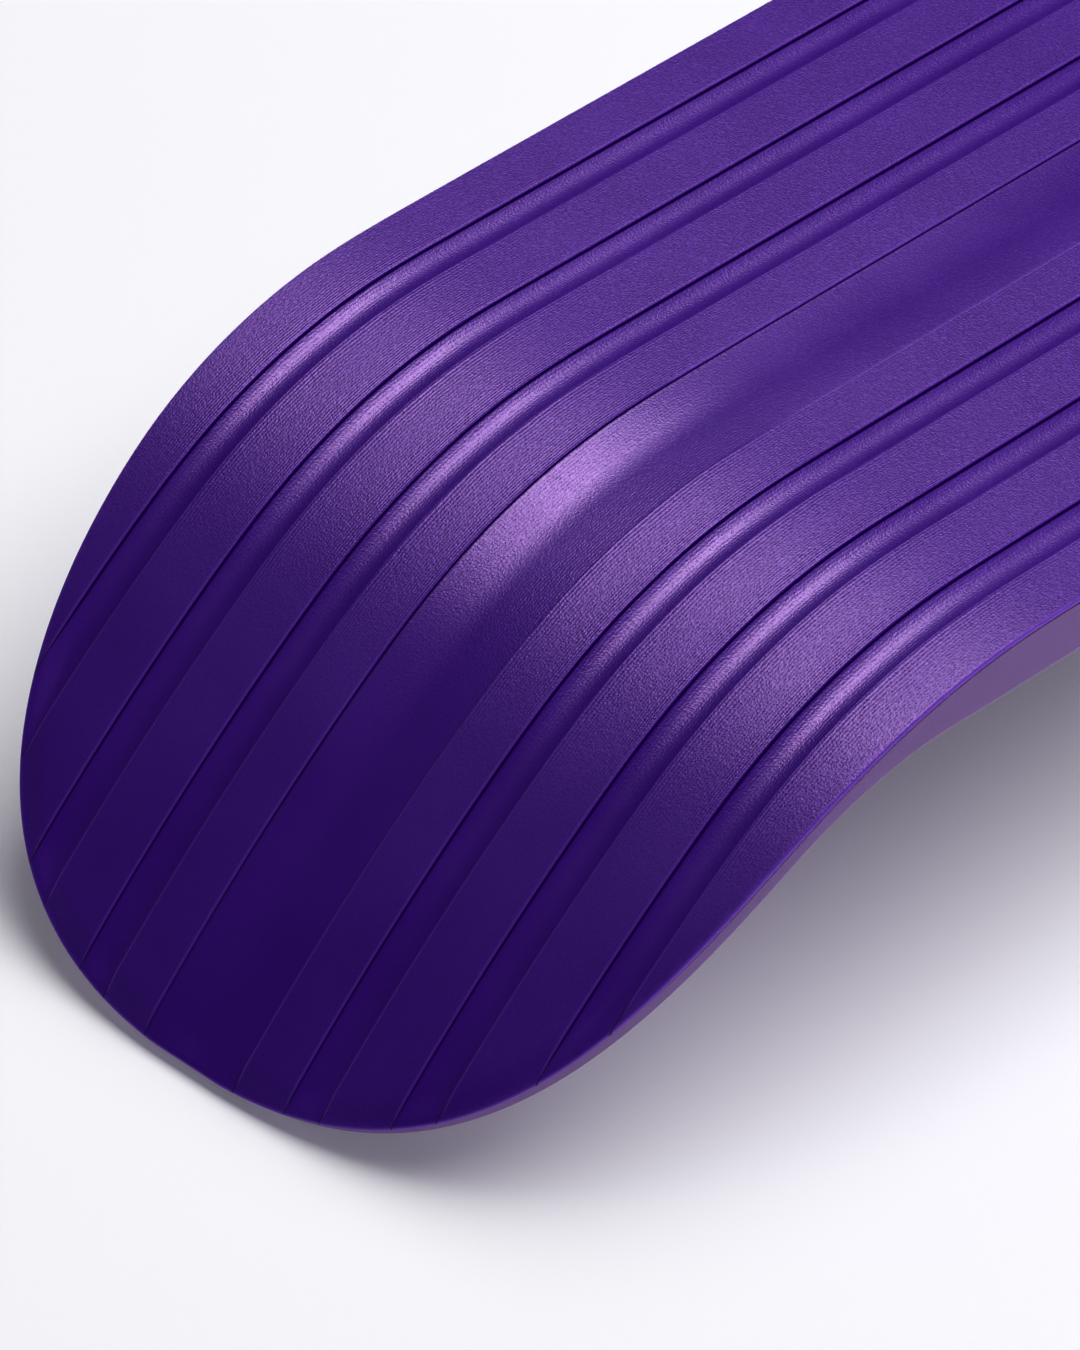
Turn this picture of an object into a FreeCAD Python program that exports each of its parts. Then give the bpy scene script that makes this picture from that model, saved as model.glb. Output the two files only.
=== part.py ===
import FreeCAD, Part
import Sketcher
import math
import os
from BOPTools import SplitAPI

# A twist-and-rock balance board lying on its two turned-down ends.
# X runs along the board, Y across it and Z up.  The origin is on the floor under the middle.
# The upper, grooved face is the one that rocks on the ground when the board is in use.

os.makedirs("parts", exist_ok=True)
doc = FreeCAD.newDocument("BalanceBoard")
sheet = doc.addObject("Spreadsheet::Sheet", "Sizes")

DRIVING = [
    ("board_width", 280.0),
    ("deck_half_length", 152.0),
    ("bend_radius", 186.0),
    ("bend_angle", 34.5),
    ("slope_radius", 676.0),
    ("slope_angle", 11.5),
    ("outline_length_power", 6.0),
    ("outline_width_power", 2.3),
    ("deck_thickness", 18.5),
    ("slope_thickness", 7.5),
    ("lower_bend_start", 188.0),
    ("flange_thickness", 1.4),
    ("seal_thickness", 0.6),
    ("seal_inset", 0.35),
    ("seal_width", 2.6),
    ("plate_thickness", 4.0),
    ("rim_wall", 3.4),
    ("fit_gap", 0.3),
    ("floor_plate", 3.2),
    ("cavity_half_width", 131.0),
    ("cavity_end_angle", 24.0),
    ("lip_radius", 0.6),
    ("groove_half_width", 6.15),
    ("groove_depth", 2.6),
    ("groove_outer", 113.5),
    ("groove_middle", 78.8),
    ("groove_inner", 44.0),
    ("channel_half_width", 18.6),
    ("channel_depth", 1.7),
    ("groove_end_margin", 4.0),
    ("groove_ramp", 36.0),
    ("screw_row", 124.5),
    ("screw_pitch", 70.0),
    ("post_radius", 4.2),
    ("post_length", 4.6),
    ("pilot_radius", 1.7),
    ("sleeve_radius", 6.0),
    ("counterbore_radius", 4.3),
    ("counterbore_depth", 5.2),
    ("sleeve_web", 2.0),
    ("screw_hole_radius", 2.3),
    ("shank_radius", 1.7),
    ("shank_length", 6.0),
    ("head_radius", 3.7),
    ("head_height", 2.4),
    ("head_edge", 0.8),
    ("shank_overlap", 0.5),
    ("socket_radius", 1.3),
    ("socket_depth", 1.3),
    ("cap_radius", 4.1),
    ("cap_height", 1.6),
    ("cap_edge", 0.4),
    ("rib_thickness", 2.0),
    ("rib_half_width", 112.0),
    ("rib_pitch_across", 44.0),
    ("rib_pitch_along", 50.0),
    ("rib_stock_reach", 260.0),
    ("rib_stock_drop", 60.0),
    ("rib_stock_height", 80.0),
    ("pad_centre", 92.0),
    ("pad_length", 96.0),
    ("pad_width", 188.0),
    ("pad_corner", 22.0),
    ("pad_thickness", 3.2),
    ("pad_recess", 1.0),
    ("pad_edge_radius", 1.2),
    ("pad_glue_line", 0.1),
    ("pad_corner_gap", 0.4),
]

for row, (alias, value) in enumerate(DRIVING, start=1):
    sheet.set("A%d" % row, alias)
    sheet.set("B%d" % row, str(value))
    sheet.setAlias("B%d" % row, alias)

# Sizes that follow from the driving ones.
DERIVED = [
    ("end_angle", "=bend_angle + slope_angle"),
    ("half_run", "=deck_half_length + (bend_radius * bend_angle + slope_radius * slope_angle) * pi / 180"),
    ("end_drop",
     "=bend_radius * (1 - cos(bend_angle * 1deg))"
     " + slope_radius * (cos(bend_angle * 1deg) - cos(end_angle * 1deg))"),
    ("rest_height", "=end_drop + slope_thickness * cos(end_angle * 1deg)"),
    ("standing_face", "=rest_height - deck_thickness"),
    ("pad_face", "=standing_face + pad_recess"),
    ("pad_far", "=0 - pad_centre"),
    ("head_seat", "=standing_face + counterbore_depth"),
    ("head_face", "=head_seat - head_height"),
]
for row, (alias, formula) in enumerate(DERIVED, start=len(DRIVING) + 1):
    sheet.set("A%d" % row, alias)
    sheet.set("B%d" % row, formula)
    sheet.setAlias("B%d" % row, alias)
doc.recompute()


def size(alias):
    """A driving or derived size as a plain number."""
    value = sheet.get(alias)
    return float(getattr(value, "Value", value))


BEND = math.radians(size("bend_angle"))
END = math.radians(size("end_angle"))
HALF_WIDTH = size("board_width") / 2.0
HALF_RUN = size("half_run")
DECK = size("deck_half_length")
BEND_RADIUS = size("bend_radius")
SLOPE_RADIUS = size("slope_radius")
OVERRUN = math.radians(1.2)
SLAB_HALF_WIDTH = HALF_WIDTH + 15.0
CUT_CLEARANCE = 5.0  # how far a cutter runs on past the face that it opens
UP = FreeCAD.Vector(0, 0, 1)


def vector(x, z, y=0.0):
    return FreeCAD.Vector(x, y, z)


# ---------------------------------------------------------------- the bent profile
BEND_CENTRE = (DECK, -BEND_RADIUS)
SLOPE_CENTRE = (
    DECK - (SLOPE_RADIUS - BEND_RADIUS) * math.sin(BEND),
    -BEND_RADIUS - (SLOPE_RADIUS - BEND_RADIUS) * math.cos(BEND),
)


def on_circle(centre, radius, angle, side):
    """A point of an arc; angle is the downward slope there, side is +1 or -1 along X."""
    return vector(side * (centre[0] + radius * math.sin(angle)), centre[1] + radius * math.cos(angle))


def arc(centre, radius, start, stop, side):
    """The edge of an arc from slope angle start to slope angle stop."""
    middle = (start + stop) / 2.0
    points = [on_circle(centre, radius, angle, side) for angle in (start, middle, stop)]
    return Part.Arc(*points).toShape()


def upper_edges(depth, last):
    """The face line a constant depth under the grooved face, from the -X end to the +X end."""
    deck_left = vector(-DECK, -depth)
    deck_right = vector(DECK, -depth)
    bend = BEND_RADIUS - depth
    slope = SLOPE_RADIUS - depth
    return [
        arc(SLOPE_CENTRE, slope, last, BEND, -1),
        arc(BEND_CENTRE, bend, BEND, 0.0, -1),
        Part.makeLine(deck_left, deck_right),
        arc(BEND_CENTRE, bend, 0.0, BEND, 1),
        arc(SLOPE_CENTRE, slope, BEND, last, 1),
    ]


def lower_arc_sizes():
    """Centre, radius and last slope angle of the tighter bend under the deck."""
    start = size("lower_bend_start")
    deep = size("deck_thickness") + SLOPE_CENTRE[1]
    inner = SLOPE_RADIUS - size("slope_thickness")
    along = start - SLOPE_CENTRE[0]
    radius = (inner ** 2 - along ** 2 - deep ** 2) / (2.0 * (inner + deep))
    centre = (start, -size("deck_thickness") - radius)
    angle = math.atan2(centre[0] - SLOPE_CENTRE[0], centre[1] - SLOPE_CENTRE[1])
    return centre, radius, angle


LOWER_CENTRE, LOWER_RADIUS, LOWER_ANGLE = lower_arc_sizes()


def lower_edges(last):
    """The face line of the standing face, from the -X end to the +X end."""
    inner = SLOPE_RADIUS - size("slope_thickness")
    level = -size("deck_thickness")
    start = size("lower_bend_start")
    return [
        arc(SLOPE_CENTRE, inner, last, LOWER_ANGLE, -1),
        arc(LOWER_CENTRE, LOWER_RADIUS, LOWER_ANGLE, 0.0, -1),
        Part.makeLine(vector(-start, level), vector(start, level)),
        arc(LOWER_CENTRE, LOWER_RADIUS, 0.0, LOWER_ANGLE, 1),
        arc(SLOPE_CENTRE, inner, LOWER_ANGLE, last, 1),
    ]


def slab_between(first_edges, second_edges, half_width):
    """A bent slab across the whole width between two face lines."""
    ends = []
    for index in (0, -1):
        first = first_edges[index].Vertexes[index].Point
        second = second_edges[index].Vertexes[index].Point
        ends.append(Part.makeLine(first, second))
    edges = Part.sortEdges(first_edges + second_edges + ends)[0]
    face = Part.Face(Part.Wire(edges))
    face.translate(FreeCAD.Vector(0, -half_width, 0))
    return face.extrude(FreeCAD.Vector(0, 2.0 * half_width, 0))


def bent_slab(top_depth, bottom_depth):
    last = END + OVERRUN
    return slab_between(upper_edges(top_depth, last), upper_edges(bottom_depth, last), SLAB_HALF_WIDTH)


# ---------------------------------------------------------------- the rounded outline
def profile_point(run):
    """Position and outward normal of the grooved face at a run length from the middle."""
    side = 1.0 if run >= 0 else -1.0
    length = abs(run)
    bend_run = BEND_RADIUS * BEND
    if length <= DECK:
        return vector(run, 0.0), vector(0.0, 1.0)
    if length <= DECK + bend_run:
        angle = (length - DECK) / BEND_RADIUS
        point = on_circle(BEND_CENTRE, BEND_RADIUS, angle, side)
    else:
        angle = BEND + (length - DECK - bend_run) / SLOPE_RADIUS
        point = on_circle(SLOPE_CENTRE, SLOPE_RADIUS, angle, side)
    return point, vector(side * math.sin(angle), math.cos(angle))


def outline_end(width):
    """Run length at which the outline is met at a given distance from the middle line."""
    share = 1.0 - (abs(width) / HALF_WIDTH) ** size("outline_width_power")
    return HALF_RUN * share ** (1.0 / size("outline_length_power"))


def outline_side(run):
    """Half width of the board at a run length from the middle."""
    share = 1.0 - (abs(run) / HALF_RUN) ** size("outline_length_power")
    return HALF_WIDTH * share ** (1.0 / size("outline_width_power"))


def evenly(start, stop, step):
    count = max(2, int(math.ceil(abs(stop - start) / step)))
    return [start + (stop - start) * index / count for index in range(count + 1)]


def quarter_spans(step=8.0):
    """The outline from the +X tip to the middle of the +Y side, cut where the profile changes."""
    corner_run = HALF_RUN * 0.5 ** (1.0 / size("outline_length_power"))
    corner_width = HALF_WIDTH * 0.5 ** (1.0 / size("outline_width_power"))
    bend_end = DECK + BEND_RADIUS * BEND
    spans = [[(outline_end(width), width) for width in evenly(0.0, corner_width, step)]]
    for start, stop, spacing in ((corner_run, bend_end, step), (bend_end, DECK, step), (DECK, 0.0, 30.0)):
        spans.append([(run, outline_side(run)) for run in evenly(start, stop, spacing)])
    return spans


def outline_spans():
    """Spans of run and width pairs, once round the board."""
    spans = []
    for run_sign, width_sign in ((1, 1), (-1, 1), (-1, -1), (1, -1)):
        quarter = [[(run_sign * run, width_sign * width) for run, width in span]
                   for span in quarter_spans()]
        if run_sign != width_sign:
            quarter = [list(reversed(span)) for span in reversed(quarter)]
        spans += quarter
    return spans


def rim_point(pair, inset, height):
    """A point a height over the grooved face and an inset inside the outline."""
    run, width = pair
    along_power = size("outline_length_power")
    across_power = size("outline_width_power")
    slope_run = math.copysign((abs(run) / HALF_RUN) ** (along_power - 1) * along_power / HALF_RUN, run)
    slope_width = math.copysign(
        (abs(width) / HALF_WIDTH) ** (across_power - 1) * across_power / HALF_WIDTH, width)
    length = math.hypot(slope_run, slope_width)
    point, normal = profile_point(run - inset * slope_run / length)
    place = point + normal * height
    return FreeCAD.Vector(place.x, width - inset * slope_width / length, place.z)


def middle_tangent(before, here, after):
    """Direction of a smooth curve through three points, at the middle one."""
    first = here - before
    second = after - here
    direction = first * (second.Length / first.Length) + second * (first.Length / second.Length)
    direction.normalize()
    return direction


def span_curve(before, span, after, inset, height, shares):
    points = [rim_point(pair, inset, height) for pair in span]
    first = middle_tangent(rim_point(before, inset, height), points[0], points[1])
    last = middle_tangent(points[-2], points[-1], rim_point(after, inset, height))
    curve = Part.BSplineCurve()
    curve.interpolate(Points=points, Parameters=shares, InitialTangent=first, FinalTangent=last)
    return curve.toShape()


def outline_wall(inset, above, below):
    """A wall standing square to the grooved face all round the outline."""
    spans = outline_spans()
    faces = []
    for index, span in enumerate(spans):
        before = spans[index - 1][-2]
        after = spans[(index + 1) % len(spans)][1]
        points = [rim_point(pair, inset, above) for pair in span]
        travelled = [0.0]
        for first, second in zip(points, points[1:]):
            travelled.append(travelled[-1] + (second - first).Length)
        shares = [length / travelled[-1] for length in travelled]
        top = span_curve(before, span, after, inset, above, shares)
        bottom = span_curve(before, span, after, inset, -below, shares)
        faces.append(Part.makeRuledSurface(top, bottom))
    return Part.makeShell(faces)


def cut_to_outline(slab, inset, above=6.0, below=30.0):
    """The piece of a slab inside the outline."""
    pieces = SplitAPI.slice(slab, [outline_wall(inset, above, below)], "Split").Solids
    middle = slab.CenterOfMass
    inside = min(pieces, key=lambda piece: (piece.BoundBox.YLength, (piece.CenterOfMass - middle).Length))
    return inside


def feature(name, shape):
    """A named part in its resting place; shapes are drawn with the deck at height zero."""
    part = doc.addObject("Part::Feature", name)
    part.Label = name
    part.Shape = shape
    part.Placement = FreeCAD.Placement(FreeCAD.Vector(0, 0, size("rest_height")), FreeCAD.Rotation())
    return part


# ---------------------------------------------------------------- grooves
def run_out(begin, depth, ramp, side):
    """An arc that touches the sloping face at a run and stands a depth above it one ramp further on."""
    start, normal = profile_point(side * begin)
    forward = FreeCAD.Vector(side * normal.z, 0, -side * normal.x)
    radius = 1.0 / (2.0 * depth / ramp ** 2 - 1.0 / SLOPE_RADIUS)
    points = []
    for share in (0.0, 0.5, 1.0):
        turn = share * (ramp + CUT_CLEARANCE) / radius
        along = radius * math.sin(turn)
        above = radius * (1.0 - math.cos(turn))
        points.append(start + forward * along + normal * above)
    return Part.Arc(*points).toShape()


def groove_cutter(centre, half_width, depth):
    """A long elliptical cutter that follows the face and rises out of it near both ends."""
    ramp = size("groove_ramp")
    begin = outline_end(abs(centre) + half_width) - size("groove_end_margin") - ramp
    begin_angle = BEND + (begin - DECK - BEND_RADIUS * BEND) / SLOPE_RADIUS
    edges = [run_out(begin, depth, ramp, side) for side in (-1, 1)] + upper_edges(0.0, begin_angle)
    for edge in edges:
        edge.translate(FreeCAD.Vector(0, centre, 0))
    path = Part.Wire(Part.sortEdges(edges)[0])
    start = path.OrderedVertexes[0].Point
    direction = path.OrderedEdges[0].tangentAt(path.OrderedEdges[0].FirstParameter)
    across = FreeCAD.Vector(0, 1, 0)
    upward = direction.cross(across)
    if upward.z < 0.0:
        upward = upward * -1.0
    # the section starts and closes at its top, well clear of the face
    section = Part.Ellipse(start + across * half_width, start + upward * depth, start)
    ring = section.toShape(math.pi / 2.0, 2.5 * math.pi)
    return path.makePipeShell([Part.Wire(ring)], True, True)


GROOVE_ROWS = [size("groove_outer"), size("groove_middle"), size("groove_inner")]


def all_cutters():
    cutters = [groove_cutter(0.0, size("channel_half_width"), size("channel_depth"))]
    for row in GROOVE_ROWS:
        for side in (-1, 1):
            cutters.append(groove_cutter(side * row, size("groove_half_width"), size("groove_depth")))
    return cutters


# Step along its row and side of the board, for the two rows of five screws clear of every groove.
SCREW_STATIONS = [(step, side) for side in (-1, 1) for step in range(-2, 3)]


def screw_places():
    """The screws' places along and across the board."""
    pitch = size("screw_pitch")
    row = size("screw_row")
    return [(step * pitch, side * row) for step, side in SCREW_STATIONS]


def upright(radius, low, high, place):
    base = FreeCAD.Vector(place[0], place[1], low)
    return Part.makeCylinder(radius, high - low, base, UP)


# ---------------------------------------------------------------- grooved ground shell
FLANGE = size("flange_thickness")
PLATE = size("plate_thickness")
RIM = size("rim_wall")
GAP = size("fit_gap")
SEAL = size("seal_thickness")
DECK_UNDER = -size("deck_thickness")


def build_ground_shell():
    flange = cut_to_outline(bent_slab(0.0, FLANGE), 0.0)
    lip = [edge for edge in flange.Edges if is_top_rim(edge)]
    flange = flange.makeFillet(size("lip_radius"), lip)
    plate = cut_to_outline(bent_slab(FLANGE / 2.0, PLATE), RIM + GAP)
    shell = flange.fuse(plate)
    posts = [upright(size("post_radius"), -PLATE - size("post_length"), -PLATE + 1.0, place)
             for place in screw_places()]
    shell = shell.fuse(posts)
    pilots = [upright(size("pilot_radius"), -PLATE - size("post_length") - 1.0, -FLANGE - 1.0, place)
              for place in screw_places()]
    return shell.cut(all_cutters() + pilots).removeSplitter()


def is_top_rim(edge):
    """True for the outline edges that lie in the grooved face itself."""
    if edge.Length < 1.0:
        return False
    first, last = edge.ParameterRange
    for share in (0.1, 0.35, 0.6, 0.9):
        point = edge.valueAt(first + (last - first) * share)
        if abs(height_over_face(point)) > 0.02:
            return False
    return not lies_across(edge)


def lies_across(edge):
    """True for the straight lines across the board where two arcs of the profile meet."""
    first, last = edge.ParameterRange
    return abs(abs(edge.tangentAt((first + last) / 2.0).y) - 1.0) < 1e-6 and edge.Length > 20.0


def height_over_face(point):
    """Distance of a point above the smooth grooved face, measured square to it."""
    x, z = abs(point.x), point.z
    if x <= DECK:
        return z
    angle = math.atan2(x - BEND_CENTRE[0], z - BEND_CENTRE[1])
    if angle <= BEND:
        return math.hypot(x - BEND_CENTRE[0], z - BEND_CENTRE[1]) - BEND_RADIUS
    return math.hypot(x - SLOPE_CENTRE[0], z - SLOPE_CENTRE[1]) - SLOPE_RADIUS


# ---------------------------------------------------------------- foot-side shell
def cavity_face_edges(clearance):
    """The two face lines of the hollow under the deck, drawn with a clearance."""
    last = math.radians(size("cavity_end_angle"))
    top = PLATE + GAP + clearance
    roof = [
        arc(BEND_CENTRE, BEND_RADIUS - top, last, 0.0, -1),
        Part.makeLine(vector(-DECK, -top), vector(DECK, -top)),
        arc(BEND_CENTRE, BEND_RADIUS - top, 0.0, last, 1),
    ]
    rise = size("floor_plate") + clearance
    level = DECK_UNDER + rise
    start = size("lower_bend_start")
    radius = LOWER_RADIUS + rise
    reach = cavity_floor_angle(last, radius)
    floor = [
        arc(LOWER_CENTRE, radius, reach, 0.0, -1),
        Part.makeLine(vector(-start, level), vector(start, level)),
        arc(LOWER_CENTRE, radius, 0.0, reach, 1),
    ]
    return roof, floor


def cavity_floor_angle(last, radius):
    """Slope angle on the floor arc where the end wall of the hollow lands."""
    away = (BEND_CENTRE[0] - LOWER_CENTRE[0], BEND_CENTRE[1] - LOWER_CENTRE[1])
    along = away[0] * math.sin(last) + away[1] * math.cos(last)
    reach = -along + math.sqrt(along ** 2 - away[0] ** 2 - away[1] ** 2 + radius ** 2)
    x = away[0] + reach * math.sin(last)
    z = away[1] + reach * math.cos(last)
    return math.atan2(x, z)


def build_cavity(clearance, half_width):
    roof, floor = cavity_face_edges(clearance)
    return slab_between(roof, floor, half_width)


def pad_block(centre, depth):
    """The shallow recess that takes one foot pad."""
    block = Part.makeBox(size("pad_length"), size("pad_width"), depth + CUT_CLEARANCE)
    block.translate(FreeCAD.Vector(centre - size("pad_length") / 2.0, -size("pad_width") / 2.0,
                                   DECK_UNDER - CUT_CLEARANCE))
    corners = [edge for edge in block.Edges if abs(edge.tangentAt(edge.FirstParameter).z) > 0.99]
    return block.makeFillet(size("pad_corner"), corners)


def build_foot_shell():
    last = END + OVERRUN
    body = slab_between(upper_edges(FLANGE + SEAL, last), lower_edges(last), SLAB_HALF_WIDTH)
    shell = cut_to_outline(body, 0.0)
    pocket = cut_to_outline(bent_slab(-2.0, PLATE + GAP), RIM)
    shell = shell.cut([pocket, build_cavity(0.0, size("cavity_half_width"))])
    head_seat = DECK_UNDER + size("counterbore_depth")
    sleeve_top = head_seat + size("sleeve_web")
    sleeves = [upright(size("sleeve_radius"), DECK_UNDER + 1.0, sleeve_top, place)
               for place in screw_places()]
    shell = shell.fuse(sleeves)
    bores = []
    for place in screw_places():
        bores.append(upright(size("counterbore_radius"), DECK_UNDER - 1.0, head_seat, place))
        bores.append(upright(size("screw_hole_radius"), DECK_UNDER - 1.0, sleeve_top + 1.0, place))
    for centre in (-size("pad_centre"), size("pad_centre")):
        bores.append(pad_block(centre, size("pad_recess")))
    return shell.cut(bores).removeSplitter()


# ---------------------------------------------------------------- seal, ribs and fixings
def bound(kind, name, formulas):
    """A document object with its sizes bound to the sheet."""
    item = doc.addObject(kind, name)
    for target, formula in formulas.items():
        item.setExpression(target, formula)
    return item


def named(kind, name, **inputs):
    """A boolean, group or other object made from objects that are already there."""
    item = doc.addObject(kind, name)
    for key, value in inputs.items():
        setattr(item, key, value)
    item.Label = name
    doc.recompute()
    return item


def build_seal():
    """A thin strip round the joint between the shells: one outline sheet with a smaller one cut out."""
    inset = size("seal_inset")
    inner_inset = inset + size("seal_width")
    outer = feature("seal_sheet", cut_to_outline(bent_slab(FLANGE, FLANGE + SEAL), inset))
    inner = feature("seal_opening", cut_to_outline(bent_slab(FLANGE - 1.0, FLANGE + SEAL + 1.0), inner_inset))
    return named("Part::Cut", "seam_seal", Base=outer, Tool=inner, Refine=False)


def rib_bar(name, length, width, x, y):
    return bound("Part::Box", name, {
        "Length": length,
        "Width": width,
        "Height": "Sizes.rib_stock_height",
        "Placement.Base.x": x,
        "Placement.Base.y": y,
        "Placement.Base.z": "Sizes.rest_height - Sizes.rib_stock_drop",
    })


def build_ribs():
    """Long and cross ribs crossing each other, trimmed to the hollow they fill."""
    bars = []
    for step in range(-2, 3):
        middle = "%d * Sizes.rib_pitch_across - Sizes.rib_thickness / 2" % step
        bars.append(rib_bar("long_rib", "2 * Sizes.rib_stock_reach", "Sizes.rib_thickness",
                            "0 - Sizes.rib_stock_reach", middle))
    for step in range(-3, 5):
        middle = "%.1f * Sizes.rib_pitch_along - Sizes.rib_thickness / 2" % (step - 0.5)
        bars.append(rib_bar("cross_rib", "Sizes.rib_thickness", "2 * Sizes.rib_half_width",
                            middle, "0 - Sizes.rib_half_width"))
    room = feature("rib_room", build_cavity(GAP, size("rib_half_width")))
    bars_joined = named("Part::MultiFuse", "rib_bars", Shapes=bars)
    return named("Part::Common", "rib_lattice", Base=room, Tool=bars_joined, Refine=True)


def turned(name, station, radius, height, level):
    """An upright cylinder at one of the screws' places."""
    step, side = station
    return bound("Part::Cylinder", name, {
        "Radius": radius,
        "Height": height,
        "Placement.Base.x": "%d * Sizes.screw_pitch" % step,
        "Placement.Base.y": "%d * Sizes.screw_row" % side,
        "Placement.Base.z": level,
    })


def rounded_low_rim(name, base, radius):
    """A cylinder with its lower rim rounded."""
    doc.recompute()
    low = base.Shape.BoundBox.ZMin
    rim = [(index, radius, radius) for index, edge in enumerate(base.Shape.Edges, start=1)
           if abs(edge.CenterOfMass.z - low) < 1e-6]
    return named("Part::Fillet", name, Base=base, Edges=rim)


def build_screw(station):
    head = turned("screw_head", station, "Sizes.head_radius", "Sizes.head_height", "Sizes.head_face")
    head = rounded_low_rim("screw_head_rounded", head, size("head_edge"))
    shank = turned("screw_shank", station, "Sizes.shank_radius", "Sizes.shank_length + Sizes.shank_overlap",
                   "Sizes.head_seat - Sizes.shank_overlap")
    socket = turned("screw_socket", station, "Sizes.socket_radius", "Sizes.socket_depth + 1",
                    "Sizes.head_face - 1")
    whole = named("Part::MultiFuse", "screw_blank", Shapes=[head, shank])
    return named("Part::Cut", "screw", Base=whole, Tool=socket)


def build_cap(station):
    cap = turned("cap_disc", station, "Sizes.cap_radius", "Sizes.cap_height", "Sizes.standing_face")
    return rounded_low_rim("cap", cap, size("cap_edge"))


def group_of_ten(name, build):
    return named("Part::Compound", name, Links=[build(station) for station in SCREW_STATIONS])


ground_shell = feature("ground_shell", build_ground_shell())
foot_shell = feature("foot_shell", build_foot_shell())
seam_seal = build_seal()
rib_lattice = build_ribs()
shell_screws = group_of_ten("shell_screws", build_screw)
screw_caps = group_of_ten("screw_caps", build_cap)


# ---------------------------------------------------------------- foot pads
def plane_of(body, role):
    return [item for item in body.Origin.OriginFeatures if item.Role == role][0]


def build_pad(name, position_alias):
    """One soft pad: a rounded rectangle padded downwards with softened lower edges."""
    body = doc.addObject("PartDesign::Body", name + "_body")
    body.Label = name
    sketch = body.newObject("Sketcher::SketchObject", name + "_sketch")
    sketch.AttachmentSupport = [(plane_of(body, "XY_Plane"), "")]
    sketch.MapMode = "FlatFace"
    half_x = size("pad_length") / 2.0
    half_y = size("pad_width") / 2.0
    corners = [(-half_x, -half_y), (half_x, -half_y), (half_x, half_y), (-half_x, half_y)]
    for index in range(4):
        start = FreeCAD.Vector(corners[index][0], corners[index][1], 0)
        stop = FreeCAD.Vector(corners[(index + 1) % 4][0], corners[(index + 1) % 4][1], 0)
        sketch.addGeometry(Part.LineSegment(start, stop), False)
    for index in range(4):
        sketch.addConstraint(Sketcher.Constraint("Coincident", index, 2, (index + 1) % 4, 1))
    for index, kind in ((0, "Horizontal"), (2, "Horizontal"), (1, "Vertical"), (3, "Vertical")):
        sketch.addConstraint(Sketcher.Constraint(kind, index))
    sketch.addConstraint(Sketcher.Constraint("Symmetric", 0, 1, 1, 2, -1, 1))
    across = sketch.addConstraint(Sketcher.Constraint("DistanceX", 0, 1, 0, 2, 2.0 * half_x))
    along = sketch.addConstraint(Sketcher.Constraint("DistanceY", 1, 1, 1, 2, 2.0 * half_y))
    sketch.setExpression("Constraints[%d]" % across, "Sizes.pad_length")
    sketch.setExpression("Constraints[%d]" % along, "Sizes.pad_width")
    pad = body.newObject("PartDesign::Pad", name + "_pad")
    pad.Profile = sketch
    pad.Reversed = True
    pad.setExpression("Length", "Sizes.pad_thickness - Sizes.pad_glue_line")
    doc.recompute()
    corner_names = edge_names(pad.Shape, lambda edge: abs(edge.tangentAt(edge.FirstParameter).z) > 0.99)
    corner = body.newObject("PartDesign::Fillet", name + "_corners")
    corner.Base = (pad, corner_names)
    corner.setExpression("Radius", "Sizes.pad_corner - Sizes.pad_corner_gap")
    doc.recompute()
    low = corner.Shape.BoundBox.ZMin
    low_names = edge_names(corner.Shape, lambda edge: abs(edge.CenterOfMass.z - low) < 1e-6)
    soft = body.newObject("PartDesign::Fillet", name + "_soft_edge")
    soft.Base = (corner, low_names)
    soft.setExpression("Radius", "Sizes.pad_edge_radius")
    body.Tip = soft
    body.setExpression("Placement.Base.x", "Sizes.%s" % position_alias)
    body.setExpression("Placement.Base.z", "Sizes.pad_face - Sizes.pad_glue_line")
    doc.recompute()
    return body


def edge_names(shape, wanted):
    return ["Edge%d" % (index + 1) for index, edge in enumerate(shape.Edges) if wanted(edge)]


foot_pad_left = build_pad("foot_pad_left", "pad_far")
foot_pad_right = build_pad("foot_pad_right", "pad_centre")

# ---------------------------------------------------------------- checks and export
doc.recompute()
PARTS = [ground_shell, foot_shell, seam_seal, rib_lattice, shell_screws, screw_caps,
         foot_pad_left, foot_pad_right]

for item in doc.Objects:
    if "Invalid" in item.State or "Error" in item.State:
        raise RuntimeError("bad state: " + item.Name)

for part in PARTS:
    shape = part.Shape
    if shape.isNull() or not shape.isValid():
        raise RuntimeError("bad shape: " + part.Label)
    box = shape.BoundBox
    print("%-16s solids %2d volume %9.0f  x %.1f..%.1f y %.1f..%.1f z %.1f..%.1f" % (
        part.Label, len(shape.Solids), shape.Volume, box.XMin, box.XMax, box.YMin, box.YMax,
        box.ZMin, box.ZMax))
    shape.exportStep("parts/%s.step" % part.Label)
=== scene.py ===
import math

import bmesh
import bpy
import numpy as np
from mathutils import Matrix, Vector


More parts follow.
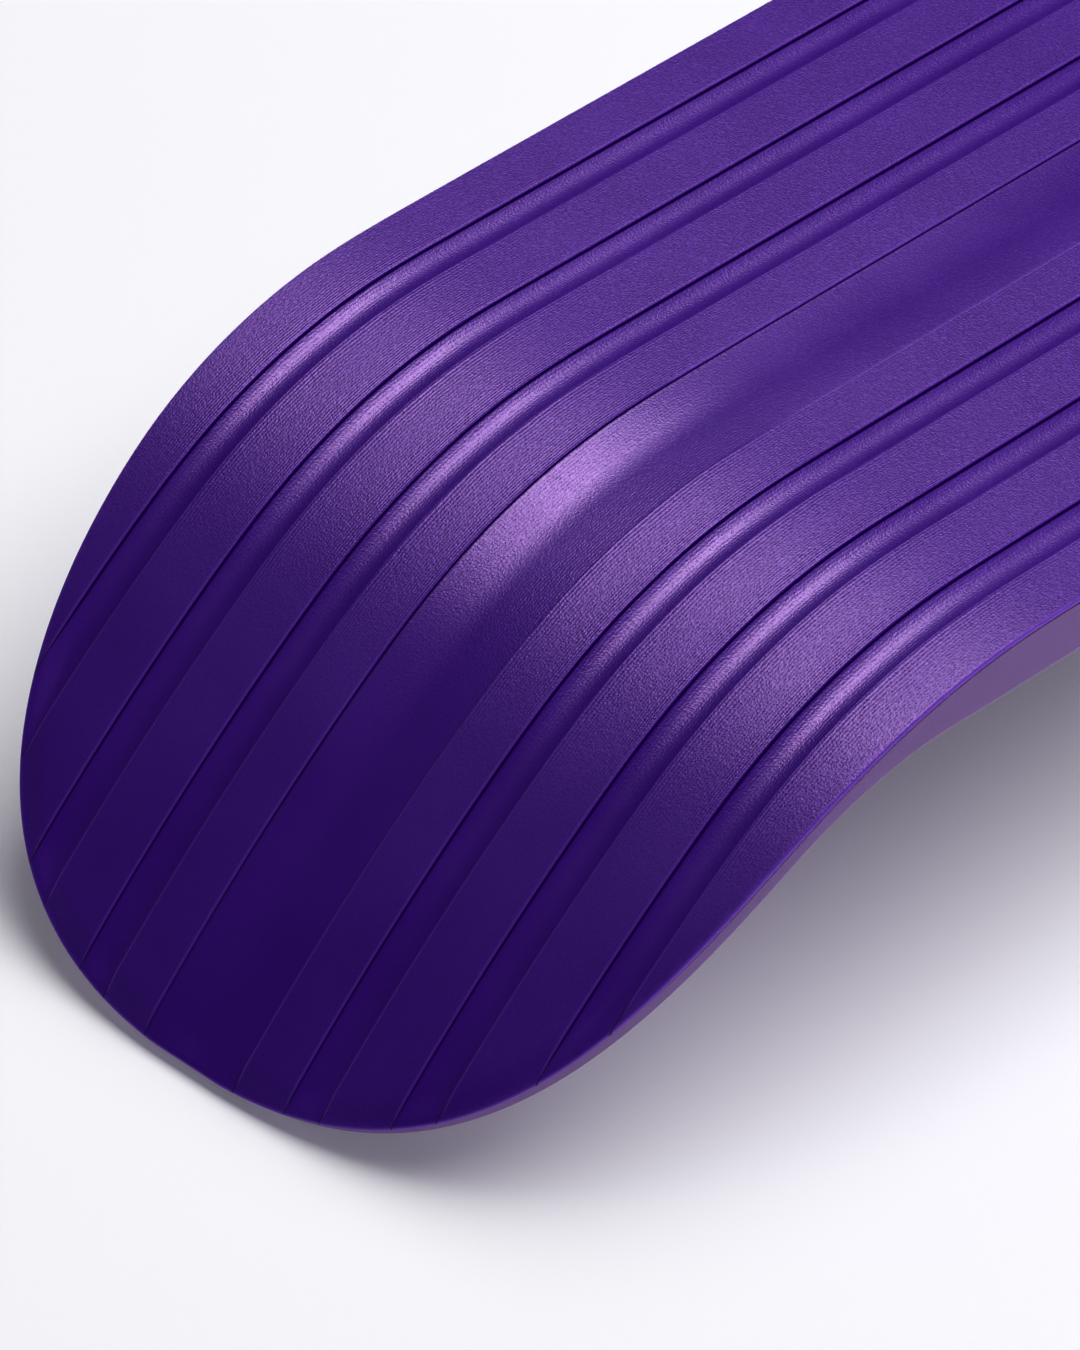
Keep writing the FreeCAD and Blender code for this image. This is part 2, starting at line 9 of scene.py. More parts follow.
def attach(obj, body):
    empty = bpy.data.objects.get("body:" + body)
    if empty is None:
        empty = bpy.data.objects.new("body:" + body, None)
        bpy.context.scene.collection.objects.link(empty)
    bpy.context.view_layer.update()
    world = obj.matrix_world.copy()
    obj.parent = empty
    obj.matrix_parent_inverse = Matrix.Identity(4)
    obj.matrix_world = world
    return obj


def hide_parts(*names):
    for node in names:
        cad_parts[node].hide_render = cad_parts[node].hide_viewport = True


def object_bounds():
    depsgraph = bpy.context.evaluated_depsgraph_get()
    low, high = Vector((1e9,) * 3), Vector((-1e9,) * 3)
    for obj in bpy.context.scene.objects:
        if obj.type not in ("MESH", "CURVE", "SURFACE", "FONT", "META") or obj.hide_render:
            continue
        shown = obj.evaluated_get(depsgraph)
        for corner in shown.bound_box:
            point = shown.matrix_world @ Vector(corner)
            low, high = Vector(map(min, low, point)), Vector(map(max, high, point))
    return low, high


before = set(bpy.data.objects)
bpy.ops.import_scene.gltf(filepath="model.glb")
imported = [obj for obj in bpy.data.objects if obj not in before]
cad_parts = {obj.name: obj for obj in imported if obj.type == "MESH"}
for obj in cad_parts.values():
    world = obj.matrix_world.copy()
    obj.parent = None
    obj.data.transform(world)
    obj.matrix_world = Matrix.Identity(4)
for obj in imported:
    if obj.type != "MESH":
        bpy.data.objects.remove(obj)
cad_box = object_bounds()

# Balance board lying on its turned-down ends.  Lengths are in millimetres until they reach a mesh.
MM = 0.001
HALF_WIDTH = 140.0
DECK = 152.0
BEND_RADIUS = 186.0
BEND_ANGLE = math.radians(34.5)
SLOPE_RADIUS = 676.0
SLOPE_ANGLE = math.radians(11.5)
BEND_RUN = DECK + BEND_RADIUS * BEND_ANGLE
# easing the bends shortens the profile, so this much run is added for the tips to reach the floor
EASE_RUN = 0.87
HALF_RUN = BEND_RUN + SLOPE_RADIUS * SLOPE_ANGLE + EASE_RUN
ALONG_POWER = 6.0
ACROSS_POWER = 2.3
DECK_TOP = cad_box[1].z / MM
DECK_THICKNESS = 18.5
SLOPE_THICKNESS = 7.5
LOWER_START = 188.0
PROFILE_STEP = 0.25
PROFILE_MARGIN = 24.0
# the bends are eased over this many steps of the profile, about 40 mm
EASE_STEPS = 161
LOWER_POINTS = 200
LOWER_SLOPE_POINTS = 300
LOWER_OVERRUN = 0.05


# ---------------------------------------------------------------- the bent profile
def make_profile():
    """Runs, heights and slope angles of the grooved face, with the bends eased in and out."""
    step = PROFILE_STEP
    runs = np.arange(0.0, HALF_RUN + PROFILE_MARGIN + step, step)
    curvature = np.where(runs < DECK, 0.0, np.where(runs < BEND_RUN, 1.0 / BEND_RADIUS, 1.0 / SLOPE_RADIUS))
    padded = np.concatenate([np.zeros(EASE_STEPS), curvature, np.full(EASE_STEPS, curvature[-1])])
    window = np.ones(EASE_STEPS) / EASE_STEPS
    curvature = np.convolve(padded, window, "same")[EASE_STEPS:-EASE_STEPS]
    middle = (curvature[1:] + curvature[:-1]) / 2.0
    angle = np.concatenate([[0.0], np.cumsum(middle * step)])
    forward = np.cos(angle)
    down = np.sin(angle)
    x = np.concatenate([[0.0], np.cumsum((forward[1:] + forward[:-1]) / 2.0 * step)])
    z = -np.concatenate([[0.0], np.cumsum((down[1:] + down[:-1]) / 2.0 * step)])
    return runs, x, z, angle


PROFILE = make_profile()


def surface(run, width, height):
    """Points a height over the smooth grooved face, as metres in the board's frame."""
    run = np.asarray(run, float)
    runs, x, z, angle = PROFILE
    side = np.where(run < 0, -1.0, 1.0)
    length = np.abs(run)
    px = np.interp(length, runs, x)
    pz = np.interp(length, runs, z)
    tilt = np.interp(length, runs, angle)
    out_x = side * (px + height * np.sin(tilt))
    out_z = DECK_TOP + pz + height * np.cos(tilt)
    return np.stack([out_x, np.broadcast_to(width, out_x.shape), out_z], -1) * MM


def make_lower_depths():
    """Depth of the standing face under the grooved face, square to it, at each run of the profile."""
    runs, x, z, angle = PROFILE
    inner = SLOPE_RADIUS - SLOPE_THICKNESS
    slope_x = DECK - (SLOPE_RADIUS - BEND_RADIUS) * math.sin(BEND_ANGLE)
    slope_z = -BEND_RADIUS - (SLOPE_RADIUS - BEND_RADIUS) * math.cos(BEND_ANGLE)
    # the small bend touches the flat at LOWER_START and runs on into the slope's inner arc
    along = LOWER_START - slope_x
    deep = -DECK_THICKNESS - slope_z
    radius = (inner ** 2 - along ** 2 - deep ** 2) / (2.0 * (inner - deep))
    centre_z = -DECK_THICKNESS - radius
    join = math.atan2(along, centre_z - slope_z)
    flat = np.stack([np.linspace(0.0, LOWER_START, LOWER_POINTS), np.full(LOWER_POINTS, -DECK_THICKNESS)], -1)
    turn = np.linspace(0.0, join, LOWER_POINTS)
    small = np.stack([LOWER_START + radius * np.sin(turn), centre_z + radius * np.cos(turn)], -1)
    turn = np.linspace(join, BEND_ANGLE + SLOPE_ANGLE + LOWER_OVERRUN, LOWER_SLOPE_POINTS)
    slope = np.stack([slope_x + inner * np.sin(turn), slope_z + inner * np.cos(turn)], -1)
    lower = np.concatenate([flat, small[1:], slope[1:]])
    found_run = []
    found_depth = []
    for qx, qz in lower:
        ahead = (qx - x) * np.cos(angle) - (qz - z) * np.sin(angle)
        index = int(np.argmax(ahead < 0.0))
        if index > 0:
            share = ahead[index - 1] / (ahead[index - 1] - ahead[index])
            place = [np.interp(index - 1 + share, np.arange(len(runs)), line) for line in PROFILE]
            found_run.append(place[0])
            found_depth.append(-((qx - place[1]) * math.sin(place[3]) + (qz - place[2]) * math.cos(place[3])))
    found_run[0] = 0.0
    return np.interp(runs, found_run, found_depth)


LOWER_DEPTHS = make_lower_depths()


def lower_depth(run):
    """Depth of the standing face under the grooved face, measured square to the grooved face."""
    return np.interp(np.abs(np.asarray(run, float)), PROFILE[0], LOWER_DEPTHS)


# ---------------------------------------------------------------- the rounded outline
def outline_end(width, inset):
    share = 1.0 - (abs(width) / (HALF_WIDTH - inset)) ** ACROSS_POWER
    return (HALF_RUN - inset) * max(share, 0.0) ** (1.0 / ALONG_POWER)


def outline_side(run, inset):
    share = 1.0 - (abs(run) / (HALF_RUN - inset)) ** ALONG_POWER
    return (HALF_WIDTH - inset) * max(share, 0.0) ** (1.0 / ACROSS_POWER)


def outline_normal(run, width):
    """Outward direction of the outline, in run and width."""
    n_run = np.sign(run) * (np.abs(run) / HALF_RUN) ** (ALONG_POWER - 1) * ALONG_POWER / HALF_RUN
    n_width = np.sign(width) * (np.abs(width) / HALF_WIDTH) ** (ACROSS_POWER - 1) * ACROSS_POWER / HALF_WIDTH
    length = np.hypot(n_run, n_width)
    return n_run / length, n_width / length


# ---------------------------------------------------------------- grooves
GROOVE_HALF = 6.15
GROOVE_WALL = 1.35
GROOVE_SAG = 1.25
GROOVE_ROWS = (113.5, 78.8, 44.0)
CHANNEL_HALF = 18.6
LIP = 1.0
LIP_DROP = 0.35
LIP_POWER = 2.5
WALL_DRAFT = 0.22
# (offset across the channel, downward slope of its floor), on the bent ends and on the flat middle
CHANNEL_BEND = ((-18.2, 0.105), (-2.0, 0.100), (7.0, -0.105), (18.2, -0.090))
CHANNEL_DECK = ((-18.2, 0.000), (-3.0, 0.085), (7.0, 0.010), (18.2, -0.060))
CHANNEL_NEAR_WALL = 0.55
CHANNEL_POINTS = 45
FLOOR_STEPS = 12
# shares of the way over a rolled lip, and down the steep wall below it, that get a mesh column
LIP_SHARES = (0.0, 0.2, 0.35, 0.5, 0.62, 0.75, 0.87, 1.0)
WALL_SHARES = (0.08, 0.35, 0.7, 0.92)
LAND_SPACING = 2.0
# insets from the rounded rim of the extra mesh columns along each side
EDGE_COLUMNS = (0.1, 0.3, 0.6, 1.0, 1.5)
RIM_RADIUS = 0.7
FLANGE = 1.4
SEAL = 0.6
PLATE_INSET = 3.7
PLATE_DEPTH = 4.0
FADE_MARGIN = 2.6
FADE_RUN = 7.0
SHALLOW_START = 262.0
SHALLOW_SHARE = 0.4
END_DROP = 0.9
DECK_SECTION_END = 118.0
BEND_SECTION_START = 172.0
END_DROP_START = 285.0
END_DROP_FULL = 345.0
FADE_POWER = 1.5


def lip_points(side, half, wall):
    """Offsets and depths of one groove edge, a rolled lip and a steep wall, in order across the board."""
    points = []
    for share in LIP_SHARES:
        points.append((-half - LIP * (1.0 - share), min(LIP_DROP, wall) * share ** LIP_POWER))
    last = points[-1]
    foot = -half + WALL_DRAFT
    for share in WALL_SHARES:
        points.append((last[0] + (foot - last[0]) * share, last[1] + (wall - last[1]) * share))
    points = [(-side * offset, depth) for offset, depth in points]
    return points if side < 0 else points[::-1]


def groove_columns(centre):
    """(width, depth on the bends, depth on the deck) for each mesh column across one groove."""
    foot = GROOVE_HALF - WALL_DRAFT
    floor = []
    for step in range(2 * FLOOR_STEPS + 1):
        offset = foot * math.sin(math.pi / 2.0 * (step / FLOOR_STEPS - 1.0)) * 0.985
        floor.append((offset, GROOVE_WALL + GROOVE_SAG * (1.0 - (offset / foot) ** 2)))
    section = lip_points(-1, GROOVE_HALF, GROOVE_WALL) + floor + lip_points(1, GROOVE_HALF, GROOVE_WALL)
    return [(centre + offset, depth, depth) for offset, depth in section]


def channel_floor(offsets, slopes, start):
    """Depth of the channel floor, by adding up its slope from the -Y edge."""
    fine = np.linspace(slopes[0][0], slopes[-1][0], 400)
    slope = np.interp(fine, [at for at, value in slopes], [value for at, value in slopes])
    depth = start + np.concatenate([[0.0], np.cumsum((slope[1:] + slope[:-1]) / 2.0 * (fine[1] - fine[0]))])
    return np.interp(offsets, fine, depth)


def channel_columns():
    foot = CHANNEL_HALF - WALL_DRAFT
    offsets = np.linspace(-foot * 0.995, foot * 0.995, CHANNEL_POINTS)
    bend = channel_floor(offsets, CHANNEL_BEND, CHANNEL_NEAR_WALL)
    deck = channel_floor(offsets, CHANNEL_DECK, 0.0)
    near = lip_points(-1, CHANNEL_HALF, float(bend[0]))
    far_bend = lip_points(1, CHANNEL_HALF, float(bend[-1]))
    far_deck = lip_points(1, CHANNEL_HALF, float(deck[-1]))
    columns = [(offset, depth, 0.0) for offset, depth in near]
    columns += [(float(offset), float(on_bend), float(on_deck))
                for offset, on_bend, on_deck in zip(offsets, bend, deck)]
    columns += [(offset, on_bend, on_deck) for (offset, on_bend), (_, on_deck) in zip(far_bend, far_deck)]
    return columns


def all_columns():
    """(width, bend depth, deck depth) for every column, from the -Y side to the +Y side."""
    columns = channel_columns()
    for row in GROOVE_ROWS:
        for side in (-1, 1):
            columns += groove_columns(side * row)
    taken = sorted(column[0] for column in columns)
    edge = HALF_WIDTH - 0.5
    for width in np.arange(-edge, edge + 0.01, LAND_SPACING):
        if min(abs(width - other) for other in taken) > 1.0 and not inside_groove(width):
            columns.append((float(width), 0.0, 0.0))
    for inset in EDGE_COLUMNS:
        for side in (-1, 1):
            columns.append((side * (HALF_WIDTH - RIM_RADIUS - inset), 0.0, 0.0))
    columns += [(-HALF_WIDTH - 1.0, 0.0, 0.0), (HALF_WIDTH + 1.0, 0.0, 0.0)]
    columns.sort()
    return [column for index, column in enumerate(columns)
            if index == 0 or column[0] - columns[index - 1][0] > 0.004]


def inside_groove(width):
    if abs(width) < CHANNEL_HALF + LIP:
        return True
    return any(abs(abs(width) - row) < GROOVE_HALF + LIP for row in GROOVE_ROWS)


def smooth_step(low, high, value):
    share = np.clip((np.asarray(value, float) - low) / (high - low), 0.0, 1.0)
    return share * share * (3.0 - 2.0 * share)


def rim_gap(run, width):
    """Distance in from the outline, to first order."""
    level = (np.abs(run) / HALF_RUN) ** ALONG_POWER + (np.abs(width) / HALF_WIDTH) ** ACROSS_POWER
    along = ALONG_POWER / HALF_RUN * (np.abs(run) / HALF_RUN) ** (ALONG_POWER - 1.0)
    across = ACROSS_POWER / HALF_WIDTH * (np.abs(width) / HALF_WIDTH) ** (ACROSS_POWER - 1.0)
    return (1.0 - level) / np.maximum(np.hypot(along, across), 1e-9)


def fade(run, width):
    """How much of its depth a groove keeps: full as far as the slope, less along it, none at the rim."""
    left = np.clip((rim_gap(run, width) - FADE_MARGIN) / FADE_RUN, 0.0, 1.0)
    shallower = 1.0 - SHALLOW_SHARE * smooth_step(SHALLOW_START, HALF_RUN, np.abs(run))
    return (1.0 - (1.0 - left) ** FADE_POWER) * shallower


def end_drop(run, width):
    """The whole rim of each end dips to the level of the groove floors, so the grooves run out into it."""
    left = np.clip((rim_gap(run, width) - FADE_MARGIN) / FADE_RUN, 0.0, 1.0)
    return END_DROP * (1.0 - left) ** FADE_POWER * smooth_step(END_DROP_START, END_DROP_FULL, np.abs(run))


def row_runs():
    """Run lengths of the mesh rows, closer together in the bends and near the ends."""
    near_tip = HALF_RUN - 3.0
    spans = ((0.0, 140.0, 4.0), (140.0, 280.0, 1.6), (280.0, 350.0, 2.4), (350.0, near_tip, 1.2),
             (near_tip, HALF_RUN - RIM_RADIUS, 0.5))
    rows = [row for start, stop, spacing in spans for row in np.arange(start, stop, spacing)]
    return sorted(set([-row for row in rows] + rows))


def clipped_grid(columns, rows, end_of, side_of):
    """Faces and (run, width) points of a grid trimmed to a convex outline, and the points on its rim.

    end_of gives the outline's run at a width, and side_of its width at a run."""
    widths = [column[0] for column in columns]
    points = []
    origin = []
    keys = {}

    def add(key, run, width, column):
        if key not in keys:
            keys[key] = len(points)
            points.append((run, width))
            origin.append(column)
        return keys[key]

    ends = [end_of(width) for width in widths]
    sides = [side_of(run) for run in rows]
    inside = [[abs(run) < ends[c] - 1e-6 and ends[c] > 0 for run in rows] for c in range(len(widths))]
    faces = []
    rim = set()
    for c in range(len(widths) - 1):
        for r in range(len(rows) - 1):
            corners = [(c, r), (c + 1, r), (c + 1, r + 1), (c, r + 1)]
            flags = [inside[cc][rr] for cc, rr in corners]
            if not any(flags):
                continue
            ring = []
            for index in range(4):
                here, after = corners[index], corners[(index + 1) % 4]
                if flags[index]:
                    ring.append(add(("v",) + here, rows[here[1]], widths[here[0]], float(here[0])))
                if flags[index] != flags[(index + 1) % 4]:
                    if here[0] == after[0]:
                        low = min(here[1], after[1])
                        run = math.copysign(ends[here[0]], rows[low] + rows[low + 1])
                        vert = add(("a", here[0], low), run, widths[here[0]], float(here[0]))
                    else:
                        low = min(here[0], after[0])
                        width = math.copysign(sides[here[1]], widths[low] + widths[low + 1])
                        share = (width - widths[low]) / (widths[low + 1] - widths[low])
                        vert = add(("b", low, here[1]), rows[here[1]], width, low + share)
                    rim.add(vert)
                    ring.append(vert)
            if len(ring) >= 3:
                faces.append(ring)
    return np.array(points), np.array(origin), faces, rim


def rim_order(points, rim):
    """Rim points sorted once round the outline."""
    chosen = sorted(rim)
    angle = np.arctan2(points[chosen, 1] / HALF_WIDTH, points[chosen, 0] / HALF_RUN)
    return [chosen[index] for index in np.argsort(angle)]


def make_object(name, vertices, faces, material, smooth_angle=35.0):
    mesh = bpy.data.meshes.new(name)
    mesh.from_pydata([tuple(v) for v in vertices], [], [tuple(face) for face in faces])
    mesh.validate(verbose=False)
    work = bmesh.new()
    work.from_mesh(mesh)
    bmesh.ops.recalc_face_normals(work, faces=work.faces)
    work.to_mesh(mesh)
    work.free()
    return link_piece(name, mesh, material, smooth_angle)


def link_piece(name, mesh, material, smooth_angle=35.0):
    mesh.update()
    mesh.polygons.foreach_set("use_smooth", [True] * len(mesh.polygons))
    piece = bpy.data.objects.new(name, mesh)
    bpy.context.scene.collection.objects.link(piece)
    mesh.materials.append(material)
    mesh.set_sharp_from_angle(angle=math.radians(smooth_angle))
    return piece


def loop_faces(first, second):
    """Quads between two closed loops of vertex numbers."""
    count = len(first)
    return [(first[i], first[(i + 1) % count], second[(i + 1) % count], second[i]) for i in range(count)]


def ruled_cap(order, points, start):
    """Quads straight across the board that close a loop; point i of the loop is vertex start + i."""
    place = {}
    for index, vert in enumerate(order):
        place[(round(points[vert, 0], 4), round(points[vert, 1], 4))] = start + index
    upper = [index for index, vert in enumerate(order) if points[vert, 1] > 1e-6]
    upper.sort(key=lambda index: points[order[index], 0])
    pairs = []
    for index in upper:
        run, width = points[order[index]]
        twin = place.get((round(run, 4), round(-width, 4)))
        if twin is not None:
            pairs.append((start + index, twin))
    faces = []
    for (a, b), (c, d) in zip(pairs, pairs[1:]):
        faces.append((a, b, d, c))
    tips = {}
    for index, vert in enumerate(order):
        if abs(points[vert, 1]) <= 1e-6:
            tips[points[vert, 0] > 0] = start + index
    if False in tips:
        faces.insert(0, (tips[False], pairs[0][1], pairs[0][0]))
    if True in tips:
        faces.append((tips[True], pairs[-1][0], pairs[-1][1]))
    return faces


# ---------------------------------------------------------------- materials
def new_material(name):
    material = bpy.data.materials.new(name)
    material.use_nodes = True
    tree = material.node_tree
    tree.nodes.clear()
    output = tree.nodes.new("ShaderNodeOutputMaterial")
    shader = tree.nodes.new("ShaderNodeBsdfPrincipled")
    tree.links.new(shader.outputs["BSDF"], output.inputs["Surface"])
    return material, tree, shader


def node(tree, kind, links=(), **values):
    """Adds a node; values set its attributes, links are (socket, value or source) pairs."""
    made = tree.nodes.new(kind)
    for key, value in values.items():
        setattr(made, key, value)
    for socket, source in links:
        if isinstance(source, bpy.types.NodeSocket):
            tree.links.new(source, made.inputs[socket])
        else:
            made.inputs[socket].default_value = source
    return made


def math_node(tree, operation, *sources, clamp=False):
    return node(tree, "ShaderNodeMath", [(i, s) for i, s in enumerate(sources)],
                operation=operation, use_clamp=clamp).outputs[0]


def ramp(tree, source, stops):
    made = node(tree, "ShaderNodeValToRGB", [(0, source)])
    band = made.color_ramp
    while len(band.elements) < len(stops):
        band.elements.new(0.5)
    for element, (position, colour) in zip(band.elements, stops):
        element.position = position
        element.color = colour if len(colour) == 4 else (*colour, 1.0)
    return made.outputs["Color"]


def grey(value):
    return (value, value, value, 1.0)


def object_coordinates(tree):
    return node(tree, "ShaderNodeTexCoord").outputs["Object"]


def mix_colour(tree, share, first, second):
    """Blends two colours; each is a socket or a plain value."""
    made = tree.nodes.new("ShaderNodeMix")
    made.data_type = "RGBA"
    for socket, source in ((made.inputs[0], share), (made.inputs[6], first), (made.inputs[7], second)):
        if isinstance(source, bpy.types.NodeSocket):
            tree.links.new(source, socket)
        else:
            socket.default_value = source
    return made.outputs[2]


def attribute(tree, name):
    return node(tree, "ShaderNodeAttribute", attribute_name=name)


def ground_plastic():
    """Purple moulded plastic: fine pebbled grain and contour lines with painted relief shading, painted
    highlights on rim and lips, painted shade on groove walls.
    """
    material, tree, shader = new_material("ground_shell_plastic")
    place = attribute(tree, "developed").outputs["Vector"]
    across = node(tree, "ShaderNodeSeparateXYZ", [(0, place)]).outputs["Y"]
    near_lip = attribute(tree, "near_lip").outputs["Fac"]
    grained = attribute(tree, "grained").outputs["Fac"]
    grain = node(tree, "ShaderNodeTexVoronoi", [("Vector", place), ("Scale", 1350.0), ("Randomness", 1.0)],
                 feature="SMOOTH_F1")
    fine = node(tree, "ShaderNodeTexNoise", [("Vector", place), ("Scale", 1700.0), ("Detail", 1.0)])
    swirl = node(tree, "ShaderNodeTexNoise", [("Vector", place), ("Scale", 45.0), ("Detail", 2.0)])
    blotch = node(tree, "ShaderNodeTexNoise", [("Vector", place), ("Scale", 22.0), ("Detail", 5.0)])
    # contour lines follow the lips and turn into loose swirls away from them
    loose = math_node(tree, "MULTIPLY_ADD", math_node(tree, "SUBTRACT", 1.0, near_lip), 0.0022, 0.0003)
    warped = math_node(tree, "MULTIPLY_ADD", swirl.outputs["Fac"], loose, across)
    lines = math_node(tree, "SINE", math_node(tree, "MULTIPLY", warped, 2.0 * math.pi / 0.00108))
    line_relief = math_node(tree, "MULTIPLY", lines, math_node(tree, "MULTIPLY_ADD", near_lip, 0.85, 0.05))
    pebbles = math_node(tree, "MULTIPLY_ADD", grain.outputs["Distance"], 1.5, -0.60)
    pebbles = math_node(tree, "SUBTRACT", pebbles, 0.9)
    pebbles = math_node(tree, "MULTIPLY_ADD", fine.outputs["Fac"], 1.8, pebbles)
    relief = math_node(tree, "MULTIPLY", math_node(tree, "ADD", pebbles, line_relief), grained)
    bump = node(tree, "ShaderNodeBump", [("Height", relief), ("Strength", 1.0), ("Distance", 0.00005)])
    tree.links.new(bump.outputs["Normal"], shader.inputs["Normal"])
    # raised grain is a little shinier than the pits between
    shine = math_node(tree, "MULTIPLY_ADD", relief, 0.30, 0.5, clamp=True)
    tree.links.new(shine, shader.inputs["Specular IOR Level"])
    tone = ramp(tree, blotch.outputs["Fac"], [(0.3, (0.048, 0.0017, 0.228)), (0.7, (0.053, 0.0025, 0.252))])
    # painted light and shade of the relief: raised grain and contour lines are painted lighter and the pits
    # darker
    painted_relief_shade = math_node(tree, "MAXIMUM", math_node(tree, "MULTIPLY_ADD", relief, 0.45, 1.0), 0.2)
    tone = node(tree, "ShaderNodeVectorMath", [(0, tone), ("Scale", painted_relief_shade)], operation="SCALE").outputs[0]
    # painted highlight: the rim and the groove lips are painted a paler violet
    edge_highlight_share = attribute(tree, "painted_edge_highlight").outputs["Fac"]
    tone = mix_colour(tree, edge_highlight_share, tone, (0.205, 0.07, 0.56, 1.0))
    # painted shade: the steep groove walls are darkened nearly to black
    shade = attribute(tree, "crevice").outputs["Fac"]
    tone = mix_colour(tree, shade, tone, (0.006, 0.0005, 0.035, 1.0))
    tree.links.new(tone, shader.inputs["Base Color"])
    # the groove floors are a little smoother than the bands between them
    rough = ramp(tree, blotch.outputs["Fac"], [(0.3, grey(0.41)), (0.7, grey(0.47))])
    in_groove = attribute(tree, "in_groove").outputs["Fac"]
    rough = math_node(tree, "MULTIPLY_ADD", in_groove, -0.075, rough)
    tree.links.new(rough, shader.inputs["Roughness"])
    shader.inputs["IOR"].default_value = 1.5
    shader.inputs["Specular Tint"].default_value = (0.76, 0.44, 0.88, 1.0)
    return material


def wall_plastic():
    """The paler side wall and standing face."""
    material, tree, shader = new_material("foot_shell_plastic")
    place = object_coordinates(tree)
    fine = node(tree, "ShaderNodeTexNoise", [("Vector", place), ("Scale", 1500.0), ("Detail", 4.0)])
    blotch = node(tree, "ShaderNodeTexNoise", [("Vector", place), ("Scale", 40.0), ("Detail", 5.0)])
    bump = node(tree, "ShaderNodeBump", [("Height", fine.outputs["Fac"]), ("Strength", 0.3),
                                         ("Distance", 0.0003)])
    tree.links.new(bump.outputs["Normal"], shader.inputs["Normal"])
    tone = ramp(tree, blotch.outputs["Fac"], [(0.3, (0.195, 0.098, 0.315)), (0.7, (0.225, 0.116, 0.356))])
    # painted highlight: the rounded lower edge and the top ledge are painted paler
    edge_highlight_share = attribute(tree, "painted_edge_highlight").outputs["Fac"]
    tone = mix_colour(tree, edge_highlight_share, tone, (0.45, 0.32, 0.58, 1.0))
    tree.links.new(tone, shader.inputs["Base Color"])
    rough = ramp(tree, blotch.outputs["Fac"], [(0.3, grey(0.48)), (0.7, grey(0.56))])
    tree.links.new(rough, shader.inputs["Roughness"])
    return material


def simple_plastic(name, dark, light, roughness, scale, strength, metallic=0.0):
    """Procedural finish with colour drift, roughness drift and fine bump."""
    material, tree, shader = new_material(name)
    place = object_coordinates(tree)
    fine = node(tree, "ShaderNodeTexNoise", [("Vector", place), ("Scale", scale), ("Detail", 4.0)])
    blotch = node(tree, "ShaderNodeTexNoise", [("Vector", place), ("Scale", 70.0), ("Detail", 5.0)])
    bump = node(tree, "ShaderNodeBump", [("Height", fine.outputs["Fac"]), ("Strength", strength),
                                         ("Distance", 0.0003)])
    tree.links.new(bump.outputs["Normal"], shader.inputs["Normal"])
    tree.links.new(ramp(tree, blotch.outputs["Fac"], [(0.3, dark), (0.7, light)]),
                   shader.inputs["Base Color"])
    tree.links.new(ramp(tree, blotch.outputs["Fac"], [(0.3, grey(roughness - 0.05)),
                                                      (0.7, grey(roughness + 0.05))]),
                   shader.inputs["Roughness"])
    shader.inputs["Metallic"].default_value = metallic
    return material


GROUND = ground_plastic()
WALL = wall_plastic()
SEAL_RUBBER = simple_plastic("seal_rubber", (0.012, 0.005, 0.02), (0.02, 0.01, 0.03), 0.6, 1500.0, 0.2)
RIB_PLASTIC = simple_plastic("rib_plastic", (0.09, 0.03, 0.2), (0.12, 0.04, 0.26), 0.5, 1200.0, 0.2)
SCREW_STEEL = simple_plastic("screw_steel", (0.45, 0.45, 0.47), (0.6, 0.6, 0.62), 0.3, 2500.0, 0.1, 1.0)
CAP_PLASTIC = simple_plastic("cap_plastic", (0.10, 0.035, 0.20), (0.13, 0.05, 0.25), 0.45, 1500.0, 0.2)
PAD_RUBBER = simple_plastic("pad_rubber", (0.025, 0.018, 0.034), (0.045, 0.034, 0.058), 0.75, 1800.0, 0.5)


# ---------------------------------------------------------------- the grooved ground shell
def add_float_attribute(piece, name, values):
    layer = piece.data.attributes.new(name, "FLOAT", "POINT")
    layer.data.foreach_set("value", np.asarray(values, np.float32))


def add_vector_attribute(piece, name, values):
    layer = piece.data.attributes.new(name, "FLOAT_VECTOR", "POINT")
    layer.data.foreach_set("vector", np.asarray(values, np.float32).ravel())


def lip_distance(width):
    """Distance from the nearest groove edge, below nought inside a groove."""
    width = np.abs(np.asarray(width, float))
    gaps = [width - CHANNEL_HALF] + [np.abs(width - row) - GROOVE_HALF for row in GROOVE_ROWS]
    return np.min(gaps, axis=0)


def lip_closeness(place):
    """1 at a groove edge on the bends, falling away from it; a quarter of that on the rest of the board."""
    gap = lip_distance(place[:, 1])
    close = np.where(gap > 0.0, np.exp(-gap / 5.5), np.where(gap < -12.0, 0.0, 0.25))
    run = np.abs(place[:, 0])
    bent = smooth_step(110.0, 165.0, run) * (1.0 - smooth_step(255.0, 320.0, run))
    return close * (0.25 + 0.75 * bent)


def grain_share(place):
    """Grain is full on the lands, weaker in the grooves, and fades down the slopes."""
    gap = lip_distance(place[:, 1])
    slope = smooth_step(225.0, 300.0, np.abs(place[:, 0]))
    return np.where(gap > 0.0, 1.0, 0.7) * (1.0 - 0.8 * slope)


def painted_crevice_shade(place):
    """Painted shade on the steep sides of the grooves, darker where they are deeper."""
    gap = lip_distance(place[:, 1])
    on_wall = smooth_step(-0.45, -0.1, gap) * (1.0 - smooth_step(0.05, 0.25, gap))
    return on_wall * smooth_step(0.25, 0.6, -place[:, 2]) * 0.85


def painted_rim_lip_highlight(place):
    """Painted highlight: a paler band round the rim, and a fainter thin one just outside each groove lip."""
    gap = np.abs(rim_gap(place[:, 0], place[:, 1]))
    rim = np.clip(1.0 - gap / 0.9, 0.0, 1.0)
    off_lip = lip_distance(place[:, 1])
    lip = smooth_step(0.0, 0.2, off_lip) * (1.0 - smooth_step(0.55, 0.95, off_lip))
    inside = smooth_step(1.5, 4.0, gap)
    return np.maximum(rim, lip * inside * 0.28)


